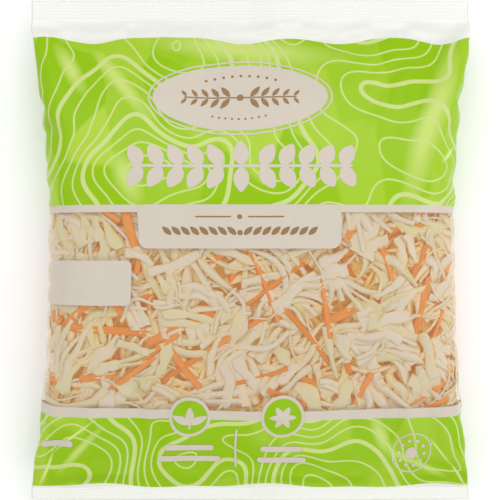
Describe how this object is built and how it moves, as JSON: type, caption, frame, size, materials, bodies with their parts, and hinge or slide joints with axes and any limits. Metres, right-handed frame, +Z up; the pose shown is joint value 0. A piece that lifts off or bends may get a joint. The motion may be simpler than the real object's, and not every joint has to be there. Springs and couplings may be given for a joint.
{
  "type": "bag of coleslaw",
  "caption": "Sealed clear pillow bag of shredded cabbage and carrot salad, printed in green at both ends with a clear window round its middle, lying on its back.",
  "frame": {"origin": "on the table, under the middle of the bag's outline", "axes": "+X across the bag to the right of its printed front, +Y along the bag from its lower seal to its upper seal, +Z up off the table through the printed front"},
  "size_m": [0.22, 0.25, 0.0515],
  "materials": {
    "printed_film": "glossy green ink on thin clear film",
    "clear_film": "thin clear glossy film",
    "white_print": "warm off-white ink on film",
    "brown_print": "brown ink on film",
    "cabbage": "moist, slightly see-through shredded white cabbage",
    "carrot": "moist shredded carrot"
  },
  "bodies": {
    "root": {"sealed_bag": "printed_film"}
  },
  "joints": []
}
